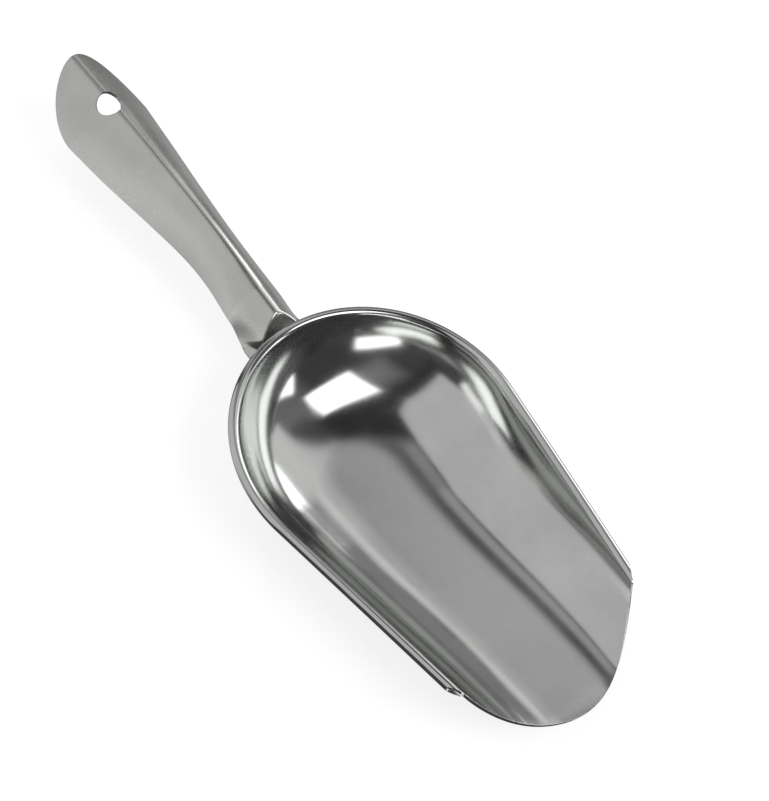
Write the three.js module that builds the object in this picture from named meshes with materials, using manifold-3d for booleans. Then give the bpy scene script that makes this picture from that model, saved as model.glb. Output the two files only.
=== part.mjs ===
// Ice scoop: a drawn bowl with a curled rim, a pressed channel handle, and the spot welds
// that hold the root of the handle to the round back of the bowl.
// Millimetres, +Z up, +X towards the mouth. The shapes are worked out about the centre of the
// bowl's round back, in the plane of the rim, and the group then sets the scoop on its floor.
import * as THREE from 'three';
import { mergeVertices } from 'three/addons/utils/BufferGeometryUtils.js';
import Module from 'manifold-3d';

// ---- driving dimensions ----
const OVERALL_LENGTH = 208; // tail of the handle to the tip of the lip
const BOWL_LENGTH = 119; // back of the rim to the tip of the lip
const RIM_WIDTH = 76; // over the curl, at the round back
const RIM_TAPER = THREE.MathUtils.degToRad(8); // each side of the rim, towards the mouth
const BOWL_DEPTH = 18; // middle of the curl to the inside of the floor, at the back
const LIP_DEPTH = 9; // the same at the tip of the lip
const LIP_RADIUS = 20.3; // of the lip's outline at its tip
const BOWL_SHEET = 0.8;
const HANDLE_SHEET = 0.8;

// ---- bowl ----
const CURL_RADIUS = 1.3; // outside of the curl
const CURL_TURN = THREE.MathUtils.degToRad(285); // from the wall round to the curl's free edge
const FLOOR_HALF_WIDTH = 6; // flat strip along the middle of the floor
const FLOOR_END = 12; // where the floor starts to rise towards the lip
const TRIM_START = 45; // where the cross-sections start to lean to the lip's outline
const BACK_SECTION = { floor: 3.0, wall: 1.25 }; // exponents of the bowl's cross-section
const LIP_SECTION = { floor: 3.1, wall: 1.0 };

// ---- handle ----
const NOSE_LENGTH = 17.3; // tail to the widest place
const NOSE_FULLNESS = 1.85; // exponent of the nose's outline, 2 for an ellipse
const HOLE_DIAMETER = 6.5; // hanging hole
const HOLE_FROM_TAIL = 16.3;
const HOLE_OFFSET = -0.9; // off the ridge, towards -Y
// Cross-sections from the widest place to the start of the root: `at` runs from 0 to 1, and the
// heights are from the plane of the rim. `ridge` is the top line, `drop` how far the free edges
// hang below it, and `round` how wide the fold along the ridge is.
const HANDLE_SECTIONS = [
  { at: 0.0, half: 12.3, ridge: 6.5, drop: 10.6, round: 6.0 },
  { at: 0.22, half: 11.0, ridge: 6.2, drop: 10.4, round: 4.4 },
  { at: 0.48, half: 9.05, ridge: 5.4, drop: 9.2, round: 3.6 },
  { at: 0.7, half: 7.7, ridge: 4.5, drop: 8.1, round: 3.3 },
  { at: 0.85, half: 7.5, ridge: 3.3, drop: 7.6, round: 3.4 },
  { at: 1.0, half: 8.0, ridge: 1.6, drop: 7.6, round: 4.0 },
];
const NOSE_DROP = 0.2; // tip of the nose below the ridge at the widest place
const ROOT_LENGTH = 12; // from the last of those sections to the back of the rim
const ROOT_HALF_WIDTH = 9; // of the pressed root, where it starts to flare
const ROOT_RIDGE = 0.3; // where the ridge would be there, had it not been pressed down
const ROOT_DEPTH = 6.8; // flat top of the pressed root, below the plane of the rim
const ROOT_EDGE_DEPTH = 8.6; // its free edges, below the plane of the rim
const ROOT_SQUARENESS = 8; // exponent of the section there
const PRESS = { start: 0.5, end: 1 }; // parts of the root between which the ridge comes down
const SQUARE_START = 0.78; // part of the root where the section starts to turn square
const PRESS_BLEND = 0.9; // roundness of the two folds beside the pressed flat
const FLARE_RADIUS = 6; // bend of the free edges outwards to the wall of the bowl
const FLARE_START = 0.6; // part of the half-width that stays straight
const FLARE_RUN = 1.5; // shortest run from the root to its end, at the middle

// ---- joint of handle and bowl ----
const TONGUE_HALF_WIDTH = 5.9; // tab at the end of the root, bent down along the wall
const TONGUE_HEIGHT = 7;
const TONGUE_BEND = 1.6; // outside radius
const TONGUE_OVERLAP = 2.5; // length that it shares with the root
const TONGUE_INSET = 0.1; // thinner than the root on each side, so that it starts inside it
const WELD_GAP = 0.3; // between a nugget and each sheet
const WELD_THICKNESS = 0.3;
const WELD_RADIUS = 1.9;
const WELD_SPACING = 6.4; // between the middles of the two nuggets
const WELD_DEPTH = 11.6; // their middles, below the plane of the rim
const SEAM = 2 * WELD_GAP + WELD_THICKNESS; // between tongue and wall

// ---- fineness of the meshes ----
const COLUMNS = { straight: 18, back: 24 };
const ROWS = { floor: 2, wall: 13, curl: 12 };
const HANDLE_ROWS = { nose: 9, channel: 14, root: 14, flare: 6 };
const HANDLE_SIDE = 12; // steps from the ridge to one free edge
const TONGUE_STEPS = { across: 4, bend: 5, down: 6 };
const HOLE_SEGMENTS = 40;
const WELD_SEGMENTS = 24;

// ---- worked out from these ----
const RIM_RADIUS = RIM_WIDTH / 2;
const TIP_X = BOWL_LENGTH - RIM_RADIUS;
const TAIL_X = TIP_X - OVERALL_LENGTH;
const REST_X = -(TIP_X + TAIL_X) / 2;
const REST_Z = BOWL_DEPTH + BOWL_SHEET;

const ROOT_SECTION = HANDLE_SECTIONS[HANDLE_SECTIONS.length - 1]; // where the root starts

// ---- steps of the working ----
const MERGE = 1e-3; // points closer than this are one point
const SMALL_STEP = 1e-3; // run over which a slope is measured
const WALL_STEP = 0.2; // the same, over the outer wall
const NEAR_RIM = 0.99; // last point of the wall before the curl, for the slope at its end
const LEAN_ROUNDS = 12; // after which a leaning column has settled on its outline
const HALVINGS = 40; // that close in on a height of the outer wall

const { lerp, smoothstep } = THREE.MathUtils;
const wasm = await Module();
wasm.setup();

// ------------------------------------------------------------------ shape of the bowl

// Half-width of the rim's outside at x, forward of the round back's centre.
function rimHalfWidth(x) {
  const tangent = RIM_RADIUS * Math.sin(RIM_TAPER);
  if (x < tangent) return Math.sqrt(RIM_RADIUS ** 2 - x ** 2);
  return RIM_RADIUS * Math.cos(RIM_TAPER) - (x - tangent) * Math.tan(RIM_TAPER);
}

// Outline of the lip in plan: how far forward the sheet reaches at a distance y off the middle.
function lipX(y) {
  return TIP_X - y ** 2 / (2 * LIP_RADIUS);
}

// A point of the bowl's inner face. `row` runs over 0..1 on the floor's flat strip, 1..2 up the
// wall and 2..3 round the curl; x picks the cross-section, and below 0 stands for the round back.
function sectionPoint(row, x) {
  const rise = smoothstep(x, FLOOR_END, TIP_X);
  const depth = lerp(BOWL_DEPTH, LIP_DEPTH, rise);
  const floor = lerp(BACK_SECTION.floor, LIP_SECTION.floor, rise);
  const wall = lerp(BACK_SECTION.wall, LIP_SECTION.wall, rise);
  const top = rimHalfWidth(Math.max(x, 0)) - 2 * CURL_RADIUS;
  if (row <= 1) return new THREE.Vector2(row * FLOOR_HALF_WIDTH, -depth);
  const onWall = (s) => {
    const angle = (Math.PI / 2) * s ** (floor / 2);
    return new THREE.Vector2(
      lerp(FLOOR_HALF_WIDTH, top, Math.sin(angle) ** (2 / floor)),
      -depth * Math.abs(Math.cos(angle)) ** (2 / wall),
    );
  };
  if (row <= 2) return onWall(row - 1);
  const end = onWall(1);
  const slope = end.clone().sub(onWall(NEAR_RIM)).normalize();
  const inward = new THREE.Vector2(-slope.y, slope.x);
  const centre = end.clone().addScaledVector(inward, -CURL_RADIUS);
  return centre.addScaledVector(inward.rotateAround({ x: 0, y: 0 }, -CURL_TURN * (row - 2)), CURL_RADIUS);
}

// A point of the inner face from a column's own x, 0..TIP_X, on the half towards +Y. Columns past
// TRIM_START lean back from the middle to the rim, so that the last one is the lip.
function frontPoint(row, columnX) {
  const lean = THREE.MathUtils.clamp((columnX - TRIM_START) / (TIP_X - TRIM_START), 0, 1);
  let x = columnX;
  for (let i = 0; i < LEAN_ROUNDS; i += 1) x = columnX - lean * (TIP_X - lipX(sectionPoint(row, x).x));
  const p = sectionPoint(row, x);
  return new THREE.Vector3(x, p.x, p.y);
}

function backPoint(row, angle) {
  const p = sectionPoint(row, -1);
  return new THREE.Vector3(p.x * Math.cos(angle), p.x * Math.sin(angle), p.y);
}

// Rows of one column, bunched where the section bends.
function bowlRows() {
  const rows = [];
  for (let i = 0; i < ROWS.floor; i += 1) rows.push(i / ROWS.floor);
  for (let i = 0; i < ROWS.wall; i += 1) rows.push(1 + i / ROWS.wall);
  for (let i = 0; i <= ROWS.curl; i += 1) rows.push(2 + i / ROWS.curl);
  return rows;
}

function bowlFace() {
  const rows = bowlRows();
  const mirrored = (p) => new THREE.Vector3(p.x, -p.y, p.z);
  const half = [];
  for (let i = COLUMNS.straight; i >= 0; i -= 1) {
    half.push(rows.map((row) => frontPoint(row, (TIP_X * i) / COLUMNS.straight)));
  }
  for (let i = 1; i <= COLUMNS.back / 2; i += 1) {
    const angle = Math.PI / 2 + (Math.PI * i) / COLUMNS.back;
    half.push(rows.map((row) => backPoint(row, angle)));
  }
  const other = half.slice(0, -1).reverse();
  return half.concat(other.map((column) => column.map(mirrored)));
}

// Radius of the bowl's outer wall round the back, at a height z below the plane of the rim.
function outerWallRadius(z) {
  let [low, high] = [1, 2];
  for (let i = 0; i < HALVINGS; i += 1) {
    const middle = (low + high) / 2;
    if (outerWallPoint(middle).y < z) low = middle;
    else high = middle;
  }
  return outerWallPoint(high).x;
}

function outerWallPoint(row) {
  const p = sectionPoint(row, -1);
  const above = sectionPoint(Math.min(row + SMALL_STEP, 2), -1);
  const along = above.sub(sectionPoint(row - SMALL_STEP, -1)).normalize();
  return new THREE.Vector2(p.x + along.y * BOWL_SHEET, p.y - along.x * BOWL_SHEET);
}

// ------------------------------------------------------------------ sheets

// Unit normals of a grid of points, from each point's neighbours.
function gridNormals(grid) {
  const last = grid.length - 1;
  const side = grid[0].length - 1;
  const at = (i, j) => grid[THREE.MathUtils.clamp(i, 0, last)][THREE.MathUtils.clamp(j, 0, side)];
  return grid.map((line, i) =>
    line.map((_, j) => {
      const across = at(i + 1, j).clone().sub(at(i - 1, j));
      const along = at(i, j + 1).clone().sub(at(i, j - 1));
      return along.cross(across).normalize();
    }),
  );
}

// The two halves of the bowl share the points of its middle line, so they share the normals too.
function bowlNormals(grid) {
  const normals = gridNormals(grid);
  for (const line of normals) line[0].copy(line[1]).setY(0).normalize();
  return normals;
}

// The points of the handle's first row have run together in the tip of the nose.
function handleNormals(grid) {
  const normals = gridNormals(grid);
  const middle = (grid[0].length - 1) / 2;
  normals[0].forEach((normal) => normal.copy(normals[1][middle]));
  return normals;
}

// A closed sheet between a grid of points and the same grid moved back along its normals. Two
// columns that share their first points, as the halves of the bowl do, come out joined there.
function sheet(face, normals, thickness, openSides) {
  const back = face.map((line, i) => line.map((p, j) => p.clone().addScaledVector(normals[i][j], -thickness)));
  const corners = [];
  const triangle = (...points) => {
    const [a, b, c] = points;
    const edges = [a.distanceTo(b), b.distanceTo(c), c.distanceTo(a)];
    if (Math.min(...edges) > MERGE) corners.push(...points);
  };
  const quad = (a, b, c, d) => {
    triangle(a, b, c);
    triangle(a, c, d);
  };
  const last = face.length - 1;
  const side = face[0].length - 1;
  for (let i = 0; i < last; i += 1) {
    for (let j = 0; j < side; j += 1) {
      quad(face[i][j], face[i][j + 1], face[i + 1][j + 1], face[i + 1][j]);
      quad(back[i][j], back[i + 1][j], back[i + 1][j + 1], back[i][j + 1]);
    }
    quad(face[i][side], back[i][side], back[i + 1][side], face[i + 1][side]);
    if (openSides) quad(face[i + 1][0], back[i + 1][0], back[i][0], face[i][0]);
  }
  for (let j = 0; j < side; j += 1) {
    quad(face[0][j + 1], face[0][j], back[0][j], back[0][j + 1]);
    quad(face[last][j], face[last][j + 1], back[last][j + 1], back[last][j]);
  }
  return new THREE.BufferGeometry().setFromPoints(corners);
}

// ------------------------------------------------------------------ shape of the handle

const WIDEST_X = TAIL_X + NOSE_LENGTH;
const ROOT_X = -(RIM_RADIUS + ROOT_LENGTH);

// One value of the handle's sections at u, on a smooth curve through the ones listed.
function channelValue(name, u) {
  const list = HANDLE_SECTIONS;
  let k = 0;
  while (k < list.length - 2 && u > list[k + 1].at) k += 1;
  const slope = (i) => {
    const [a, b] = [list[Math.max(i - 1, 0)], list[Math.min(i + 1, list.length - 1)]];
    return (b[name] - a[name]) / (b.at - a.at);
  };
  const span = list[k + 1].at - list[k].at;
  const t = (u - list[k].at) / span;
  const start = list[k][name] * (1 + 2 * t) * (1 - t) ** 2 + slope(k) * span * t * (1 - t) ** 2;
  const end = list[k + 1][name] * t ** 2 * (3 - 2 * t) + slope(k + 1) * span * t ** 2 * (t - 1);
  return start + end;
}

// How far the section has dropped at a distance y off the ridge: a fold of width `round`, then
// straight flanks, down to 1 at the half-width.
function foldDrop(y, half, round) {
  return (Math.hypot(y, round) - round) / (Math.hypot(half, round) - round);
}

function nosePoint(side, angle) {
  const full = HANDLE_SECTIONS[0];
  const x = WIDEST_X - NOSE_LENGTH * Math.abs(Math.cos(angle)) ** (2 / NOSE_FULLNESS);
  const y = side * full.half * Math.sin(angle) ** (2 / NOSE_FULLNESS);
  const ridge = full.ridge - NOSE_DROP * (1 - Math.sin(angle));
  return new THREE.Vector3(x, y, ridge - full.drop * foldDrop(y, full.half, full.round));
}

function channelPoint(side, u) {
  const half = channelValue('half', u);
  const y = side * half;
  const fall = channelValue('drop', u) * foldDrop(y, half, channelValue('round', u));
  return new THREE.Vector3(lerp(WIDEST_X, ROOT_X, u), y, channelValue('ridge', u) - fall);
}

// The smaller of two heights, rounded where they meet.
function roundedLess(a, b, blend) {
  const h = Math.max(blend - Math.abs(a - b), 0) / blend;
  return Math.min(a, b) - (h ** 2 * blend) / 4;
}

// Height of the root at v, 0 where the channel ends and 1 where the flare starts. The ridge is
// pressed down to a flat that widens towards the bowl, and the section ends almost square.
function rootHeight(side, v) {
  const start = ROOT_SECTION;
  const half = lerp(start.half, ROOT_HALF_WIDTH, v);
  const ridge = lerp(start.ridge, ROOT_RIDGE, v);
  const edge = lerp(start.ridge - start.drop, -ROOT_EDGE_DEPTH, smoothstep(v, 0, 1));
  const fold = ridge - (ridge - edge) * foldDrop(side * half, half, start.round);
  const flat = lerp(start.ridge + PRESS_BLEND, -ROOT_DEPTH, smoothstep(v, PRESS.start, PRESS.end));
  const pressed = roundedLess(fold, flat, PRESS_BLEND);
  const square = -lerp(ROOT_DEPTH, ROOT_EDGE_DEPTH, Math.abs(side) ** ROOT_SQUARENESS);
  return lerp(pressed, square, smoothstep(v, SQUARE_START, 1));
}

// x of the bowl's outer wall behind the point (y, z).
function wallX(y, z) {
  return -Math.sqrt(outerWallRadius(z) ** 2 - y ** 2);
}

// Unit normal of the bowl's outer wall there, away from the bowl.
function wallNormal(y, z) {
  const at = (side, height) => new THREE.Vector3(wallX(side, height), side, height);
  const sideways = at(y + WALL_STEP, z).sub(at(y - WALL_STEP, z));
  const upwards = at(y, z + WALL_STEP).sub(at(y, z - WALL_STEP));
  return sideways.cross(upwards).negate().normalize();
}

// The point at a distance from the outer wall, measured square to it.
function offWall(y, z, distance) {
  return new THREE.Vector3(wallX(y, z), y, z).addScaledVector(wallNormal(y, z), distance);
}

function flareRadius(side) {
  return FLARE_RADIUS * smoothstep(Math.abs(side), FLARE_START, 1);
}

function rootPoint(side, v) {
  const y = side * lerp(ROOT_SECTION.half, ROOT_HALF_WIDTH, v ** 2);
  const z = rootHeight(side, v);
  const wall = wallX(side * ROOT_HALF_WIDTH, rootHeight(side, 1));
  const end = wall - SEAM - TONGUE_BEND - FLARE_RUN - flareRadius(side);
  return new THREE.Vector3(lerp(ROOT_X, end, v), y, z);
}

// The end of the root: straight towards the wall near the middle, and near the free edges bent
// outwards until it lies along the wall.
function flarePoint(side, turn) {
  const start = rootPoint(side, 1);
  const radius = flareRadius(side);
  const rise = rootHeight(side + SMALL_STEP, 1) - rootHeight(side - SMALL_STEP, 1);
  const slope = rise / (2 * SMALL_STEP * ROOT_HALF_WIDTH);
  const outward = new THREE.Vector2(-slope, 1).normalize();
  const out = radius * (1 - Math.cos(turn));
  const y = start.y + outward.x * out;
  const z = start.z + outward.y * out;
  const lying = smoothstep(Math.abs(side), FLARE_START, 1);
  const end = wallX(y, z) - SEAM - lerp(TONGUE_BEND, HANDLE_SHEET, lying);
  return new THREE.Vector3(lerp(start.x, end, Math.sin(turn)), y, z);
}

function handleFace() {
  const rows = [];
  const across = (make) => {
    const row = [];
    for (let j = HANDLE_SIDE; j >= -HANDLE_SIDE; j -= 1) row.push(make(j / HANDLE_SIDE));
    rows.push(row);
  };
  const quarter = Math.PI / 2;
  for (let i = 0; i < HANDLE_ROWS.nose; i += 1) across((s) => nosePoint(s, (quarter * i) / HANDLE_ROWS.nose));
  for (let i = 0; i < HANDLE_ROWS.channel; i += 1) across((s) => channelPoint(s, i / HANDLE_ROWS.channel));
  for (let i = 0; i < HANDLE_ROWS.root; i += 1) across((s) => rootPoint(s, i / HANDLE_ROWS.root));
  for (let i = 0; i <= HANDLE_ROWS.flare; i += 1) across((s) => flarePoint(s, (quarter * i) / HANDLE_ROWS.flare));
  return rows;
}

// The tab that carries on from the middle of the root and lies down the wall, with its first
// rows inside the root's own sheet.
function tongueFace() {
  const rows = [];
  const across = (make) => {
    const row = [];
    for (let j = TONGUE_STEPS.across; j >= -TONGUE_STEPS.across; j -= 1) {
      row.push(make((j / TONGUE_STEPS.across) * TONGUE_HALF_WIDTH));
    }
    rows.push(row);
  };
  const bendX = (y) => wallX(y, -ROOT_DEPTH) - SEAM - TONGUE_BEND;
  const top = ROOT_DEPTH + TONGUE_INSET;
  across((y) => new THREE.Vector3(bendX(y) - TONGUE_OVERLAP, y, -top));
  for (let i = 0; i <= TONGUE_STEPS.bend; i += 1) {
    const turn = (Math.PI * i) / (2 * TONGUE_STEPS.bend);
    const drop = TONGUE_BEND * (1 - Math.cos(turn));
    across((y) => new THREE.Vector3(bendX(y) + TONGUE_BEND * Math.sin(turn), y, -top - drop));
  }
  for (let i = 1; i <= TONGUE_STEPS.down; i += 1) {
    const depth = lerp(top + TONGUE_BEND, top + TONGUE_HEIGHT, i / TONGUE_STEPS.down);
    across((y) => offWall(y, -depth, SEAM));
  }
  return rows;
}

// ------------------------------------------------------------------ solids

function toSolid(geometry) {
  const merged = mergeVertices(geometry, MERGE);
  const mesh = new wasm.Mesh({
    numProp: 3,
    vertProperties: merged.attributes.position.array,
    triVerts: new Uint32Array(merged.index.array),
  });
  return new wasm.Manifold(mesh);
}

function toGeometry(solid) {
  const mesh = solid.getMesh();
  const positions = new Float32Array(mesh.vertProperties);
  const geometry = new THREE.BufferGeometry();
  geometry.setAttribute('position', new THREE.BufferAttribute(positions, 3));
  geometry.setIndex(new THREE.BufferAttribute(new Uint32Array(mesh.triVerts), 1));
  return geometry;
}

function bowlGeometry() {
  const face = bowlFace();
  return sheet(face, bowlNormals(face), BOWL_SHEET, false);
}

function handleGeometry() {
  const hole = wasm.Manifold.cylinder(RIM_WIDTH, HOLE_DIAMETER / 2, HOLE_DIAMETER / 2, HOLE_SEGMENTS, true)
    .translate([TAIL_X + HOLE_FROM_TAIL, HOLE_OFFSET, 0]);
  const face = handleFace();
  const tab = tongueFace();
  const pressed = toSolid(sheet(face, handleNormals(face), HANDLE_SHEET, true)).subtract(hole);
  const tongue = toSolid(sheet(tab, gridNormals(tab), HANDLE_SHEET - 2 * TONGUE_INSET, true));
  return toGeometry(pressed.add(tongue));
}

// A weld nugget lies midway between the wall and the tongue, square to the wall.
function placeWeld(mesh, y) {
  mesh.position.copy(offWall(y, -WELD_DEPTH, SEAM / 2));
  mesh.quaternion.setFromUnitVectors(new THREE.Vector3(0, 1, 0), wallNormal(y, -WELD_DEPTH));
}

// ------------------------------------------------------------------ the scoop

const polishedSteel = new THREE.MeshStandardMaterial({ color: 0xa8aaa7, metalness: 1, roughness: 0.22 });
const handleSteel = new THREE.MeshStandardMaterial({ color: 0xaeafab, metalness: 1, roughness: 0.32 });
const weldSteel = new THREE.MeshStandardMaterial({ color: 0x84837d, metalness: 1, roughness: 0.55 });

const scoop = new THREE.Group();
scoop.position.set(REST_X, 0, REST_Z);

function addPiece(name, geometry, material) {
  const mesh = new THREE.Mesh(geometry, material);
  mesh.name = name;
  scoop.add(mesh);
  return mesh;
}

addPiece('scoop_bowl', bowlGeometry(), polishedSteel);
addPiece('handle', handleGeometry(), handleSteel);
for (const [name, side] of [['spot_weld_left', 1], ['spot_weld_right', -1]]) {
  const nugget = new THREE.CylinderGeometry(WELD_RADIUS, WELD_RADIUS, WELD_THICKNESS, WELD_SEGMENTS);
  placeWeld(addPiece(name, nugget, weldSteel), (side * WELD_SPACING) / 2);
}

export default scoop;
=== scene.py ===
"""Ice scoop: finely modelled bowl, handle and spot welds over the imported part, in a pale studio."""

import math

import bmesh
import bpy
import numpy as np
from mathutils import Matrix, Quaternion, Vector


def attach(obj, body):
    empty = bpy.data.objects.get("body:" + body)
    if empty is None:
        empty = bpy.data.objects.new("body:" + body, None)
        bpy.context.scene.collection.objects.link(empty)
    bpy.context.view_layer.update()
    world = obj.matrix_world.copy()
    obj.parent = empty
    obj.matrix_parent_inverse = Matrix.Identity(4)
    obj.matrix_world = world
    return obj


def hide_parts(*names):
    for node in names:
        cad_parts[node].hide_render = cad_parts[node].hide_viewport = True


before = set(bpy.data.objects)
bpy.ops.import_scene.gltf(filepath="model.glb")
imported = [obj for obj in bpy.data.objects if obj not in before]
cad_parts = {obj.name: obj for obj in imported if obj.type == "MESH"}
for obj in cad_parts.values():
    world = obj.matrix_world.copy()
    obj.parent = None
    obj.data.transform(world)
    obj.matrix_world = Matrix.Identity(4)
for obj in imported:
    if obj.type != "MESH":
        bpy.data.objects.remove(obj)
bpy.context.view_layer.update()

# ---------------------------------------------------------------- sizes, in metres
MM = 0.001
REST = Vector((23 * MM, 0, 18.8 * MM))  # centre of the bowl's round back, in the plane of the rim
RIM_RADIUS = 38 * MM
RIM_TAPER = math.radians(8)
TIP_X = 81 * MM
TAIL_X = -127 * MM
BOWL_DEPTH = 18 * MM
LIP_DEPTH = 9 * MM
LIP_RADIUS = 20.3 * MM
SHEET = 0.8 * MM
CURL_RADIUS = 1.3 * MM
CURL_TURN = math.radians(285)
FLOOR_HALF_WIDTH = 6 * MM
FLOOR_END = 12 * MM
TRIM_START = 45 * MM
BACK_SECTION = (3.0, 1.25)  # exponents of the bowl's cross-section: floor, wall
LIP_SECTION = (3.1, 1.0)
NEAR_RIM = 0.99
LEAN_ROUNDS = 16

NOSE_LENGTH = 17.3 * MM
NOSE_FULLNESS = 1.85
NOSE_DROP = 0.2 * MM
HOLE_RADIUS = 3.25 * MM
HOLE_CENTRE = (TAIL_X + 16.3 * MM, -0.9 * MM)
# Sections of the handle: place from 0 to 1, half-width, ridge, drop of the free edges, roundness.
HANDLE_SECTIONS = (
    (0.0, 12.3, 6.5, 10.6, 6.0),
    (0.22, 11.0, 6.2, 10.4, 4.4),
    (0.48, 9.05, 5.4, 9.2, 3.6),
    (0.7, 7.7, 4.5, 8.1, 3.3),
    (0.85, 7.5, 3.3, 7.6, 3.4),
    (1.0, 8.0, 1.6, 7.6, 4.0),
)
ROOT_LENGTH = 12 * MM
ROOT_HALF_WIDTH = 9 * MM
ROOT_RIDGE = 0.3 * MM
ROOT_DEPTH = 6.8 * MM
ROOT_EDGE_DEPTH = 8.6 * MM
ROOT_SQUARENESS = 8
PRESS_START, PRESS_END = 0.5, 1.0  # parts of the root between which the ridge comes down
SQUARE_START = 0.78
PRESS_BLEND = 0.9 * MM
FLARE_RADIUS = 6 * MM
FLARE_START = 0.6
FLARE_RUN = 1.5 * MM
TONGUE_HALF_WIDTH = 5.9 * MM
TONGUE_HEIGHT = 7 * MM
TONGUE_BEND = 1.6 * MM
TONGUE_OVERLAP = 2.5 * MM
TONGUE_INSET = 0.1 * MM
SEAM = 0.9 * MM  # between the tongue and the wall of the bowl
WELD_RADIUS = 1.9 * MM
WELD_THICKNESS = 0.3 * MM
WELD_SPACING = 6.4 * MM
WELD_DEPTH = 11.6 * MM

WIDEST_X = TAIL_X + NOSE_LENGTH
ROOT_X = -(RIM_RADIUS + ROOT_LENGTH)
EDGE_ROUND = 0.42  # of every cut edge, as a part of the sheet
WELD_ROUND = 0.4  # of a weld's edge, as a part of its thickness

# ---------------------------------------------------------------- fineness of the meshes
FLOOR_ROWS, WALL_ROWS, CURL_ROWS = 12, 64, 29
FRONT_COLUMNS, BACK_COLUMNS = 110, 90
WALL_TABLE = 4000  # places at which the outer wall behind the handle is worked out
FLOOR_EDGE = 1.001  # row just above the flat floor, where the wall starts
SIDES = 97  # points across the handle
NOSE_LINES, CHANNEL_LINES, ROOT_LINES, FLARE_LINES = 60, 130, 70, 26
TONGUE_POINTS, TONGUE_BEND_LINES, TONGUE_FLAT_LINES = 33, 12, 16
HOLE_RINGS = 12
HOLE_REACH = 2.1  # half-size of the patch round the hole, in radii of the hole
EDGE_SEGMENTS = 4
EDGE_ANGLE = math.radians(50)
WELD_SEGMENTS = 64
SMALL_STEP = 1e-3
WALL_STEP = 0.2 * MM
SAME_PLACE = 2e-6  # vertices closer than this are one
NO_LENGTH = 1e-7


# ---------------------------------------------------------------- shape of the bowl
def ease(x, low, high):
    t = np.clip((x - low) / (high - low), 0, 1)
    return t * t * (3 - 2 * t)


def mix(a, b, t):
    return a + (b - a) * t


def rim_half_width(x):
    """Half-width of the outside of the rim, x ahead of the centre of the round back."""
    tangent = RIM_RADIUS * math.sin(RIM_TAPER)
    arc = np.sqrt(RIM_RADIUS**2 - np.minimum(x, tangent) ** 2)
    side = RIM_RADIUS * math.cos(RIM_TAPER) - (x - tangent) * math.tan(RIM_TAPER)
    return np.where(x < tangent, arc, side)


def lip_x(y):
    return TIP_X - y**2 / (2 * LIP_RADIUS)


def wall_curve(s, x):
    """The wall of the cross-section at x, s from 0 at the floor to 1 at the rim."""
    rise = ease(x, FLOOR_END, TIP_X)
    depth = mix(BOWL_DEPTH, LIP_DEPTH, rise)
    floor = mix(BACK_SECTION[0], LIP_SECTION[0], rise)
    wall = mix(BACK_SECTION[1], LIP_SECTION[1], rise)
    top = rim_half_width(np.maximum(x, 0)) - 2 * CURL_RADIUS
    angle = math.pi / 2 * s ** (floor / 2)
    out = mix(FLOOR_HALF_WIDTH, top, np.sin(angle) ** (2 / floor))
    return out, -depth * np.abs(np.cos(angle)) ** (2 / wall)


def section_point(row, x):
    """The inner face, row 0..1 on the flat floor, 1..2 up the wall, 2..3 round the curl."""
    out, height = wall_curve(np.clip(row - 1, 0, 1), x)
    out = np.where(row < 1, row * FLOOR_HALF_WIDTH, out)
    near_out, near_height = wall_curve(NEAR_RIM, x)
    end_out, end_height = wall_curve(1.0, x)
    length = np.hypot(end_out - near_out, end_height - near_height)
    run, climb = (end_out - near_out) / length, (end_height - near_height) / length
    turn = -CURL_TURN * np.clip(row - 2, 0, 1)
    arm_out = -climb * np.cos(turn) - run * np.sin(turn)
    arm_up = -climb * np.sin(turn) + run * np.cos(turn)
    curl_out = end_out + CURL_RADIUS * (climb + arm_out)
    curl_up = end_height + CURL_RADIUS * (-run + arm_up)
    on_curl = row > 2
    return np.where(on_curl, curl_out, out), np.where(on_curl, curl_up, height)


def front_points(rows, column_x):
    """Points on the +Y half, for columns that lean from the middle of the lip to its corner."""
    row, start = np.meshgrid(rows, column_x)
    lean = np.clip((start - TRIM_START) / (TIP_X - TRIM_START), 0, 1)
    x = start.copy()
    for _ in range(LEAN_ROUNDS):
        x = start - lean * (TIP_X - lip_x(section_point(row, x)[0]))
    out, height = section_point(row, x)
    return np.stack([x, out, height], axis=-1)


def back_points(rows, angles):
    row, angle = np.meshgrid(rows, angles)
    out, height = section_point(row, np.full_like(row, -MM))
    return np.stack([out * np.cos(angle), out * np.sin(angle), height], axis=-1)


def bowl_face():
    """The inner face from the lip's middle line round the back to the lip again."""
    rows = np.concatenate([np.linspace(0, 1, FLOOR_ROWS, endpoint=False),
                           np.linspace(1, 2, WALL_ROWS, endpoint=False),
                           np.linspace(2, 3, CURL_ROWS)])
    front = front_points(rows, np.linspace(TIP_X, 0, FRONT_COLUMNS))
    back = back_points(rows, np.linspace(math.pi / 2, math.pi, BACK_COLUMNS)[1:])
    half = np.concatenate([front, back])
    return np.concatenate([half, half[:-1][::-1] * [1, -1, 1]])


# ---------------------------------------------------------------- the wall behind the handle
def outer_wall():
    """Radius and height of the bowl's outer wall round the back, from the floor to the rim."""
    rows = np.linspace(FLOOR_EDGE, 2, WALL_TABLE)
    out, height = section_point(rows, np.full_like(rows, -MM))
    d_out, d_height = np.gradient(out), np.gradient(height)
    length = np.hypot(d_out, d_height)
    return out + d_height / length * SHEET, height - d_out / length * SHEET


WALL_RADIUS, WALL_HEIGHT = outer_wall()


def wall_x(y, z):
    return -np.sqrt(np.interp(z, WALL_HEIGHT, WALL_RADIUS) ** 2 - y**2)


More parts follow.
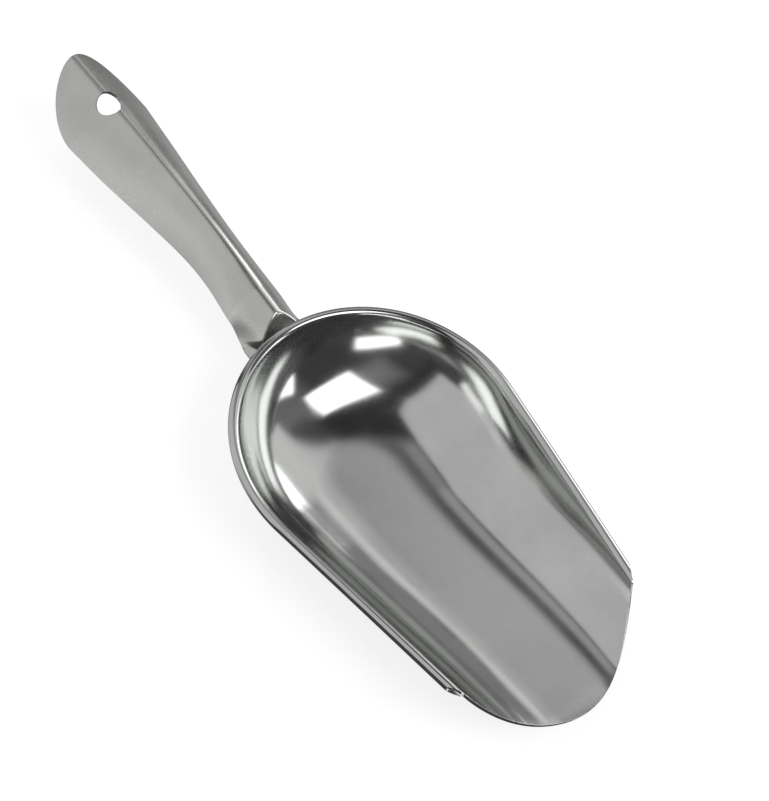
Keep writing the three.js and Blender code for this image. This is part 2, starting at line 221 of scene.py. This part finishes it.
def wall_normal(y, z):
    """Unit normal of the bowl's outer wall behind the point (y, z), away from the bowl."""
    step = WALL_STEP
    sideways = np.stack([wall_x(y + step, z) - wall_x(y - step, z), 2 * step + 0 * y, 0 * y], axis=-1)
    upwards = np.stack([wall_x(y, z + step) - wall_x(y, z - step), 0 * y, 2 * step + 0 * y], axis=-1)
    normal = -np.cross(sideways, upwards)
    return normal / np.linalg.norm(normal, axis=-1, keepdims=True)


def off_wall(y, z, distance):
    return np.stack([wall_x(y, z), y, z], axis=-1) + wall_normal(y, z) * distance


# ---------------------------------------------------------------- shape of the handle
def channel_values(u):
    """Half-width, ridge, drop and roundness at u, on smooth curves through the listed sections."""
    table = np.array(HANDLE_SECTIONS)
    at, values = table[:, 0], table[:, 1:] * MM
    low = np.maximum(np.arange(len(at)) - 1, 0)
    high = np.minimum(np.arange(len(at)) + 1, len(at) - 1)
    slopes = (values[high] - values[low]) / (at[high] - at[low])[:, None]
    u = np.asarray(u)
    k = np.clip(np.searchsorted(at, u) - 1, 0, len(at) - 2)
    span = (at[k + 1] - at[k])[..., None]
    t = (u[..., None] - at[k][..., None]) / span
    start = values[k] * (1 + 2 * t) * (1 - t) ** 2 + slopes[k] * span * t * (1 - t) ** 2
    end = values[k + 1] * t**2 * (3 - 2 * t) + slopes[k + 1] * span * t**2 * (t - 1)
    return np.moveaxis(start + end, -1, 0)


def fold_drop(y, half, rounding):
    return (np.hypot(y, rounding) - rounding) / (np.hypot(half, rounding) - rounding)


def handle_height(x, y):
    """Top of the handle at (x, y), from the tail to the start of the root."""
    half, ridge, drop, rounding = channel_values(np.clip((x - WIDEST_X) / (ROOT_X - WIDEST_X), 0, 1))
    along_nose = np.clip((WIDEST_X - x) / NOSE_LENGTH, 0, 1) ** (NOSE_FULLNESS / 2)
    sine = np.sqrt(1 - along_nose**2)
    return ridge - NOSE_DROP * (1 - sine) - drop * fold_drop(y, half, rounding)


def nose_points(side, angle):
    half = channel_values(0.0)[0]
    x = WIDEST_X - NOSE_LENGTH * np.abs(np.cos(angle)) ** (2 / NOSE_FULLNESS)
    y = side * half * np.sin(angle) ** (2 / NOSE_FULLNESS)
    return np.stack([x, y, handle_height(x, y)], axis=-1)


def channel_points(side, u):
    x = mix(WIDEST_X, ROOT_X, u)
    y = side * channel_values(u)[0]
    return np.stack([x, y, handle_height(x, y)], axis=-1)


def rounded_less(a, b, blend):
    """The smaller of two heights, rounded where they meet."""
    h = np.maximum(blend - np.abs(a - b), 0) / blend
    return np.minimum(a, b) - h**2 * blend / 4


def root_height(side, v):
    """Height of the pressed root at v, 0 where the channel ends and 1 where the flare starts."""
    start_half, start_ridge, start_drop, start_round = channel_values(1.0)
    half = mix(start_half, ROOT_HALF_WIDTH, v)
    ridge = mix(start_ridge, ROOT_RIDGE, v)
    edge = mix(start_ridge - start_drop, -ROOT_EDGE_DEPTH, ease(v, 0, 1))
    fold = ridge - (ridge - edge) * fold_drop(side * half, half, start_round)
    flat = mix(start_ridge + PRESS_BLEND, -ROOT_DEPTH, ease(v, PRESS_START, PRESS_END))
    pressed = rounded_less(fold, flat, PRESS_BLEND)
    square = -mix(ROOT_DEPTH, ROOT_EDGE_DEPTH, np.abs(side) ** ROOT_SQUARENESS)
    return mix(pressed, square, ease(v, SQUARE_START, 1))


def flare_radius(side):
    return FLARE_RADIUS * ease(np.abs(side), FLARE_START, 1)


def root_points(side, v):
    y = side * mix(channel_values(1.0)[0], ROOT_HALF_WIDTH, v**2)
    wall = wall_x(side * ROOT_HALF_WIDTH, root_height(side, 1.0))
    end = wall - SEAM - TONGUE_BEND - FLARE_RUN - flare_radius(side)
    return np.stack([mix(ROOT_X, end, v), y, root_height(side, v)], axis=-1)


def flare_points(side, turn):
    """The end of the root: straight in the middle, and bent out along the wall at the edges."""
    start = root_points(side, np.ones_like(turn))
    rise = root_height(side + SMALL_STEP, 1.0) - root_height(side - SMALL_STEP, 1.0)
    slope = rise / (2 * SMALL_STEP * ROOT_HALF_WIDTH)
    length = np.hypot(slope, 1)
    out = flare_radius(side) * (1 - np.cos(turn))
    y = start[..., 1] - slope / length * out
    z = start[..., 2] + out / length
    lying = ease(np.abs(side), FLARE_START, 1)
    end = wall_x(y, z) - SEAM - mix(TONGUE_BEND, SHEET, lying)
    return np.stack([mix(start[..., 0], end, np.sin(turn)), y, z], axis=-1)


def handle_face():
    sides = np.linspace(1, -1, SIDES)
    parts = [
        (nose_points, np.linspace(0, math.pi / 2, NOSE_LINES, endpoint=False)),
        (channel_points, np.linspace(0, 1, CHANNEL_LINES, endpoint=False)),
        (root_points, np.linspace(0, 1, ROOT_LINES, endpoint=False)),
        (flare_points, np.linspace(0, math.pi / 2, FLARE_LINES)),
    ]
    return np.concatenate([make(*np.meshgrid(sides, places)) for make, places in parts])


def tongue_face():
    """The tab at the end of the root that is bent down along the bowl's wall."""
    ys = np.linspace(1, -1, TONGUE_POINTS) * TONGUE_HALF_WIDTH
    bend_x = wall_x(ys, -ROOT_DEPTH) - SEAM - TONGUE_BEND
    top = ROOT_DEPTH + TONGUE_INSET
    rows = [np.stack([bend_x - TONGUE_OVERLAP, ys, 0 * ys - top], axis=-1)]
    for turn in np.linspace(0, math.pi / 2, TONGUE_BEND_LINES):
        drop = TONGUE_BEND * (1 - math.cos(turn))
        rows.append(np.stack([bend_x + TONGUE_BEND * math.sin(turn), ys, 0 * ys - top - drop], axis=-1))
    for depth in np.linspace(top + TONGUE_BEND, top + TONGUE_HEIGHT, TONGUE_FLAT_LINES)[1:]:
        rows.append(off_wall(ys, 0 * ys - depth, SEAM))
    return np.array(rows)


# ---------------------------------------------------------------- meshes
def grid_faces(lines, points, skip=None):
    """Quads of a grid of vertices, without the cells that skip(i, j) names."""
    faces = []
    for i in range(lines - 1):
        for j in range(points - 1):
            if skip is None or not skip(i, j):
                a = i * points + j
                faces.append((a, a + 1, a + points + 1, a + points))
    return faces


def sheet_object(name, vertices, faces, thickness):
    """A closed sheet with rounded cut edges. Its given face is the front, and it grows backwards."""
    mesh = bpy.data.meshes.new(name)
    mesh.from_pydata([tuple(v) for v in vertices], [], faces)
    work = bmesh.new()
    work.from_mesh(mesh)
    bmesh.ops.remove_doubles(work, verts=work.verts, dist=SAME_PLACE)
    bmesh.ops.dissolve_degenerate(work, edges=work.edges, dist=NO_LENGTH)
    work.to_mesh(mesh)
    work.free()
    mesh.transform(Matrix.Translation(REST))
    mesh.shade_smooth()
    thing = bpy.data.objects.new(name, mesh)
    bpy.context.scene.collection.objects.link(thing)
    solid = thing.modifiers.new("sheet", "SOLIDIFY")
    solid.thickness = thickness
    solid.offset = -1
    edge = thing.modifiers.new("cut edges", "BEVEL")
    edge.width = EDGE_ROUND * thickness
    edge.segments = EDGE_SEGMENTS
    edge.limit_method = "ANGLE"
    edge.angle_limit = EDGE_ANGLE
    edge.harden_normals = True
    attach(thing, "root")
    return thing


def holed_grid(face, inner, centre, radius, height, rings):
    """A grid with a round hole: the block of cells `inner` gives way to rings round the hole."""
    lines, points = face.shape[:2]
    first_line, last_line, first_point, last_point = inner
    vertices = [tuple(p) for p in face.reshape(-1, 3)]
    faces = grid_faces(lines, points,
                       lambda i, j: first_line <= i < last_line and first_point <= j < last_point)
    border = [(first_line, j) for j in range(first_point, last_point)]
    border += [(i, last_point) for i in range(first_line, last_line)]
    border += [(last_line, j) for j in range(last_point, first_point, -1)]
    border += [(i, first_point) for i in range(last_line, first_line, -1)]
    outer = [i * points + j for i, j in border]
    for ring in range(1, rings + 1):
        t = ring / rings
        start = len(vertices)
        for i, j in border:
            away = Vector((face[i, j, 0] - centre[0], face[i, j, 1] - centre[1]))
            edge = away.normalized() * radius
            x, y = centre[0] + mix(away.x, edge.x, t), centre[1] + mix(away.y, edge.y, t)
            vertices.append((x, y, float(height(x, y))))
        circle = list(range(start, len(vertices)))
        for k in range(len(circle)):
            n = (k + 1) % len(circle)
            faces.append((outer[k], outer[n], circle[n], circle[k]))
        outer = circle
    return vertices, faces


def make_bowl():
    face = bowl_face()
    lines, points = face.shape[:2]
    return sheet_object("bowl", face.reshape(-1, 3), grid_faces(lines, points), SHEET)


def make_handle():
    face = handle_face()
    reach = HOLE_REACH * HOLE_RADIUS
    middle = face.shape[1] // 2
    near_x = np.abs(face[:, middle, 0] - HOLE_CENTRE[0])
    lines = np.nonzero(near_x < reach)[0]
    crossing = face[np.argmin(near_x)]
    across = np.nonzero(np.abs(crossing[:, 1] - HOLE_CENTRE[1]) < reach)[0]
    block = (lines[0], lines[-1], across[0], across[-1])
    vertices, faces = holed_grid(face, block, HOLE_CENTRE, HOLE_RADIUS, handle_height, HOLE_RINGS)
    return sheet_object("handle_sheet", vertices, faces, SHEET)


def make_tongue():
    face = tongue_face()
    lines, points = face.shape[:2]
    return sheet_object("handle_tongue", face.reshape(-1, 3), grid_faces(lines, points),
                        SHEET - 2 * TONGUE_INSET)


def make_weld(name, y):
    """A weld nugget: a low disc with a round edge, square to the bowl's wall."""
    height = np.array(-WELD_DEPTH)
    middle = off_wall(np.array(y), height, SEAM / 2)
    normal = Vector(wall_normal(np.array(y), height))
    mesh = bpy.data.meshes.new(name)
    work = bmesh.new()
    bmesh.ops.create_cone(work, cap_ends=True, segments=WELD_SEGMENTS, radius1=WELD_RADIUS,
                          radius2=WELD_RADIUS, depth=WELD_THICKNESS)
    caps = [edge for edge in work.edges if abs(edge.verts[0].co.z - edge.verts[1].co.z) < 1e-9]
    bmesh.ops.bevel(work, geom=caps, offset=WELD_THICKNESS * WELD_ROUND, segments=4, profile=0.5,
                    affect="EDGES")
    work.to_mesh(mesh)
    work.free()
    turn = normal.to_track_quat("Z", "Y").to_matrix().to_4x4()
    mesh.transform(Matrix.Translation(REST + Vector(middle)) @ turn)
    mesh.shade_smooth()
    thing = bpy.data.objects.new(name, mesh)
    bpy.context.scene.collection.objects.link(thing)
    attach(thing, "root")
    return thing


# ---------------------------------------------------------------- materials
class Nodes:
    """Short ways to add shader nodes to one tree."""

    def __init__(self, tree):
        self.tree = tree
        tree.nodes.clear()

    def add(self, kind, inputs=None, **settings):
        node = self.tree.nodes.new(kind)
        for name, value in settings.items():
            setattr(node, name, value)
        for socket, value in (inputs or {}).items():
            if isinstance(value, bpy.types.NodeSocket):
                self.tree.links.new(value, node.inputs[socket])
            else:
                node.inputs[socket].default_value = value
        return node

    def math(self, operation, *values):
        return self.add("ShaderNodeMath", dict(enumerate(values)), operation=operation).outputs[0]

    def vector(self, operation, *values):
        return self.add("ShaderNodeVectorMath", dict(enumerate(values)), operation=operation).outputs[0]

    def noise(self, where, scale, detail=3.0, roughness=0.5):
        inputs = {"Vector": where, "Scale": scale, "Detail": detail, "Roughness": roughness}
        return self.add("ShaderNodeTexNoise", inputs).outputs["Fac"]

    def remap(self, value, low, high, out_low, out_high, smooth=False):
        inputs = {"Value": value, "From Min": low, "From Max": high,
                  "To Min": out_low, "To Max": out_high}
        kind = "SMOOTHSTEP" if smooth else "LINEAR"
        return self.add("ShaderNodeMapRange", inputs, interpolation_type=kind).outputs["Result"]

    def ramp(self, value, stops):
        node = self.add("ShaderNodeValToRGB", {"Fac": value})
        elements = node.color_ramp.elements
        while len(elements) < len(stops):
            elements.new(0.5)
        for element, (place, colour) in zip(elements, stops):
            element.position = place
            element.color = (*colour, 1)
        return node.outputs["Color"]


SMUDGE_SCALE = 45  # noise cells per metre
WAVE_SCALE = 70
SPECK_SCALE = 1900


def steel(name, dark, light, rough, grain, waves):
    """Sheet steel: smudged colour and roughness, a fine grain and a slight unevenness."""
    material = bpy.data.materials.new(name)
    material.use_nodes = True
    nodes = Nodes(material.node_tree)
    where = nodes.add("ShaderNodeTexCoord").outputs["Object"]
    smudge = nodes.noise(where, SMUDGE_SCALE, 5, 0.62)
    speck = nodes.noise(where, SPECK_SCALE, 2, 0.6)
    colour = nodes.ramp(smudge, [(0.35, dark), (0.68, light)])
    roughness = nodes.math("ADD", nodes.remap(smudge, 0.35, 0.65, rough[0], rough[1]),
                           nodes.remap(speck, 0.3, 0.7, -0.02, 0.02))
    uneven = nodes.add("ShaderNodeBump", {"Strength": 1.0, "Distance": waves,
                                          "Height": nodes.noise(where, WAVE_SCALE, 2, 0.5)})
    fine = nodes.add("ShaderNodeBump", {"Strength": 1.0, "Distance": grain,
                                        "Height": speck, "Normal": uneven.outputs["Normal"]})
    shader = nodes.add("ShaderNodeBsdfPrincipled", {
        "Base Color": colour, "Metallic": 1.0, "Roughness": roughness,
        "Normal": fine.outputs["Normal"]})
    nodes.add("ShaderNodeOutputMaterial", {"Surface": shader.outputs["BSDF"]})
    return material


# ---------------------------------------------------------------- studio
STEEL_REFLECTS = 0.57
LAMP = 3.2  # brightness of the white panels
BACKDROP = 0.95  # what the camera sees behind the floor
FLOOR_SIZE = 3.0
FLOOR_DROP = 0.05 * MM
FLOOR_GLOW = 0.78


def level(grey):
    """Brightness of a panel that polished steel shows as this grey, from 0 to 255."""
    return ((grey / 255 + 0.055) / 1.055) ** 2.4 / STEEL_REFLECTS


def studio():
    """Soft-edged panels round the object, placed to give the steel the bright and dark areas it
    has in the photograph. Places are degrees from straight up, towards +X and +Y."""
    world = bpy.data.worlds.new("studio")
    world.use_nodes = True
    nodes = Nodes(world.node_tree)
    direction = nodes.add("ShaderNodeTexCoord").outputs["Generated"]
    x, y, z = nodes.add("ShaderNodeSeparateXYZ", {"Vector": direction}).outputs
    from_top = nodes.math("DEGREES", nodes.math("ARCCOSINE", z))
    sideways = nodes.math("SQRT", nodes.math("SUBTRACT", 1.0, nodes.math("MULTIPLY", z, z)))
    stretch = nodes.math("DIVIDE", from_top, nodes.math("MAXIMUM", sideways, 1e-4))
    flat = nodes.add("ShaderNodeCombineXYZ", {"X": nodes.math("MULTIPLY", x, stretch),
                                              "Y": nodes.math("MULTIPLY", y, stretch)}).outputs[0]

    def box(centre, half, turn=0.0, soft=3.0):
        """1 inside a turned box and 0 outside, with a soft edge."""
        moved = nodes.vector("SUBTRACT", flat, (*centre, 0))
        turned = nodes.add("ShaderNodeVectorRotate", {"Vector": moved, "Angle": math.radians(turn)},
                           rotation_type="Z_AXIS").outputs[0]
        past = nodes.vector("SUBTRACT", nodes.vector("ABSOLUTE", turned), (*half, 0))
        parts = nodes.add("ShaderNodeSeparateXYZ", {"Vector": past}).outputs
        return nodes.remap(nodes.math("MAXIMUM", parts[0], parts[1]), soft, -soft, 0.0, 1.0, True)

    def ring(centre, radius, half_width, soft=3.0):
        """1 inside a ring and 0 outside, with a soft edge."""
        moved = nodes.vector("SUBTRACT", flat, (*centre, 0))
        length = nodes.add("ShaderNodeVectorMath", {0: moved}, operation="LENGTH").outputs["Value"]
        from_middle = nodes.math("ABSOLUTE", nodes.math("SUBTRACT", length, radius))
        past = nodes.math("SUBTRACT", from_middle, half_width)
        return nodes.remap(past, soft, -soft, 0.0, 1.0, True)

    light = nodes.remap(y, -1.0, 1.0, level(58), level(60))

    def put(mask, grey):
        """Lays a panel of that grey over what is there."""
        nonlocal light
        strength = LAMP if grey == "white" else level(grey)
        light = nodes.add("ShaderNodeMix", {0: mask, 2: light, 3: strength}, data_type="FLOAT").outputs[0]

    # below the horizon
    put(box((0, 165), (190, 60), 0, 8), 150)
    put(box((0, -165), (190, 60), 0, 8), 64)
    put(box((30, 112), (45, 12), 0, 5), 150)
    # the arch of white beyond the bowl, with a haze inside it
    put(box((-12, 85), (8, 18), -20, 4), 80)
    put(box((36, 56), (15, 22), 0, 9), 100)
    arch = nodes.math("MULTIPLY", ring((25, 52), 37.5, 11.5), box((25, 76), (48, 33), 0, 2))
    put(arch, "white")
    # grey panels towards the handle
    put(box((-1, 50), (33, 11), -38, 2), 194)
    put(box((-60.4, -38.5), (72, 41), -8, 2), 179)
    put(box((0, 8), (17, 10), 37, 1.5), 48)
    put(box((12.1, -8.4), (9, 8), 63, 1.5), 45)
    put(box((-3, 17), (11, 11), 0, 1.5), 46)
    put(box((-60, 52), (44, 10), 0, 3), 122)
    put(box((-60, 86), (42, 24), 0, 3), 112)
    put(box((-60, 31), (45.5, 4), 0, 1.5), 170)
    put(box((-60, 36.5), (45, 1.8), 0, 1.2), 208)
    put(box((-60, 18), (46, 8), 0, 4), 150)
    put(box((-60, 23.4), (46, 3.6), 0, 2.5), 80)
    put(box((-60, -92), (48, 12), 0, 5), 150)
    # the dark gap beside them, and the haze under the lamp
    put(box((20, -40), (7, 32), -6, 4), 42)
    put(box((40, -22), (12, 16), -12, 10), 112)
    # lamps
    put(box((32, 10.5), (14.5, 19.5), -15, 2.5), "white")
    put(box((70, -39), (5.5, 20.5), 19, 2.5), "white")
    put(box((-19, -75), (13.5, 3.3), 14, 2), 246)

    seen = nodes.add("ShaderNodeLightPath").outputs["Is Camera Ray"]
    strength = nodes.add("ShaderNodeMix", {0: seen, 2: light, 3: BACKDROP}, data_type="FLOAT")
    background = nodes.add("ShaderNodeBackground", {"Strength": strength.outputs[0]})
    nodes.add("ShaderNodeOutputWorld", {"Surface": background.outputs[0]})
    bpy.context.scene.world = world


def make_floor():
    """A pale floor that the steel doesn't mirror."""
    mesh = bpy.data.meshes.new("floor")
    corners = [(FLOOR_SIZE * x, FLOOR_SIZE * y, 0) for x, y in ((-1, -1), (1, -1), (1, 1), (-1, 1))]
    mesh.from_pydata(corners, [], [(0, 1, 2, 3)])
    floor = bpy.data.objects.new("floor", mesh)
    bpy.context.scene.collection.objects.link(floor)
    floor.location.z = -FLOOR_DROP
    floor.visible_glossy = False
    material = bpy.data.materials.new("floor")
    material.use_nodes = True
    nodes = Nodes(material.node_tree)
    paper = nodes.noise(nodes.add("ShaderNodeTexCoord").outputs["Object"], 6, 3, 0.5)
    colour = nodes.ramp(paper, [(0.3, (0.47, 0.47, 0.47)), (0.7, (0.5, 0.5, 0.5))])
    diffuse = nodes.add("ShaderNodeBsdfDiffuse", {"Color": colour})
    glow = nodes.add("ShaderNodeEmission", {"Color": (1, 1, 1, 1), "Strength": FLOOR_GLOW})
    both = nodes.add("ShaderNodeAddShader", {0: diffuse.outputs[0], 1: glow.outputs[0]})
    nodes.add("ShaderNodeOutputMaterial", {"Surface": both.outputs[0]})
    mesh.materials.append(material)


# ---------------------------------------------------------------- camera
CAMERA_AIM = Vector((14.44 * MM, 7.5 * MM, 18.8 * MM))
CAMERA_DISTANCE = 784.6 * MM
CAMERA_AZIMUTH = math.radians(30.07)
CAMERA_ELEVATION = math.radians(56.18)
CAMERA_ROLL = math.radians(23.92)
CAMERA_LENS = 145.26
CAMERA_SENSOR = 36
CAMERA_NEAR, CAMERA_FAR = 0.01, 20


def make_camera():
    data = bpy.data.cameras.new("camera")
    data.lens = CAMERA_LENS
    data.sensor_width = CAMERA_SENSOR
    data.clip_start, data.clip_end = CAMERA_NEAR, CAMERA_FAR
    camera = bpy.data.objects.new("camera", data)
    bpy.context.scene.collection.objects.link(camera)
    back = Vector((math.sin(CAMERA_AZIMUTH) * math.cos(CAMERA_ELEVATION),
                   -math.cos(CAMERA_AZIMUTH) * math.cos(CAMERA_ELEVATION),
                   math.sin(CAMERA_ELEVATION)))
    camera.location = CAMERA_AIM + back * CAMERA_DISTANCE
    camera.rotation_mode = "QUATERNION"
    camera.rotation_quaternion = (-back).to_track_quat("-Z", "Y") @ Quaternion((0, 0, 1), CAMERA_ROLL)
    bpy.context.scene.camera = camera


# ---------------------------------------------------------------- the scene
bowl_steel = steel("bowl_steel", dark=(0.56, 0.57, 0.56), light=(0.66, 0.67, 0.655),
                   rough=(0.10, 0.15), grain=0.0009 * MM, waves=0.012 * MM)
handle_steel = steel("handle_steel", dark=(0.58, 0.58, 0.565), light=(0.69, 0.69, 0.67),
                     rough=(0.24, 0.32), grain=0.0005 * MM, waves=0.012 * MM)
weld_steel = steel("weld_steel", dark=(0.30, 0.28, 0.26), light=(0.48, 0.47, 0.46),
                   rough=(0.42, 0.6), grain=0.01 * MM, waves=0.02 * MM)

bowl = make_bowl()
handle = make_handle()
tongue = make_tongue()
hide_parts("scoop_bowl")
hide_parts("handle")
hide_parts("handle")
for piece, material, slot in (
    (bowl, bowl_steel, "bowl_steel"),
    (handle, handle_steel, "handle_steel"),
    (tongue, handle_steel, "handle_steel"),
):
    piece.data.materials.append(material)
for name, side in (("left", 1), ("right", -1)):
    weld = make_weld("weld_" + name, side * WELD_SPACING / 2)
    weld.data.materials.append(weld_steel)
    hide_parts("spot_weld_" + name)

make_floor()
studio()
make_camera()
bpy.context.scene.view_settings.view_transform = "Standard"
bpy.context.view_layer.update()
